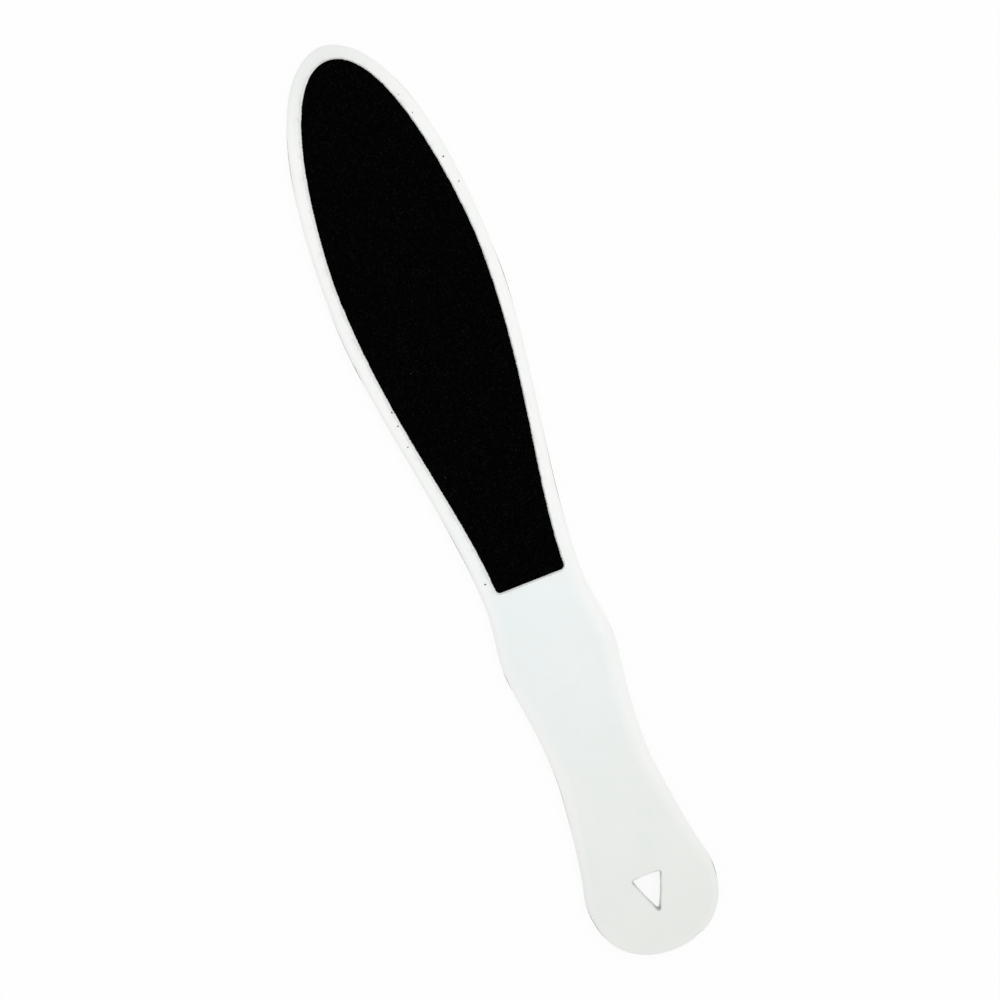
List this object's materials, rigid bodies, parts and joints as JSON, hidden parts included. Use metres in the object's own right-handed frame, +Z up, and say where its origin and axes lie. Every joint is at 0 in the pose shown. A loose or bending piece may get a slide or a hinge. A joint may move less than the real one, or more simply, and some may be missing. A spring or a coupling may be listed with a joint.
{
  "type": "foot file",
  "caption": "Flat moulded paddle with a leaf-shaped black abrasive sheet in a rimmed pocket on each face, a waisted grip and a triangular hang hole in its round end.",
  "frame": {"origin": "on the fine sheet's face, which the file lies on, under the middle of its length and width", "axes": "+Z up, out of the coarse face; +Y along the length, from the handle to the tip of the head; +X to the right seen from above"},
  "size_m": [0.0474, 0.26, 0.005],
  "materials": {
    "white_plastic": "satin",
    "adhesive": "satin",
    "sheet_backing": "matte",
    "coarse_abrasive": "matte",
    "fine_abrasive": "matte"
  },
  "bodies": {
    "root": {"paddle_body": "white_plastic", "coarse_adhesive": "adhesive", "coarse_backing": "sheet_backing", "coarse_grit": "coarse_abrasive", "fine_adhesive": "adhesive", "fine_backing": "sheet_backing", "fine_grit": "fine_abrasive"}
  },
  "joints": []
}
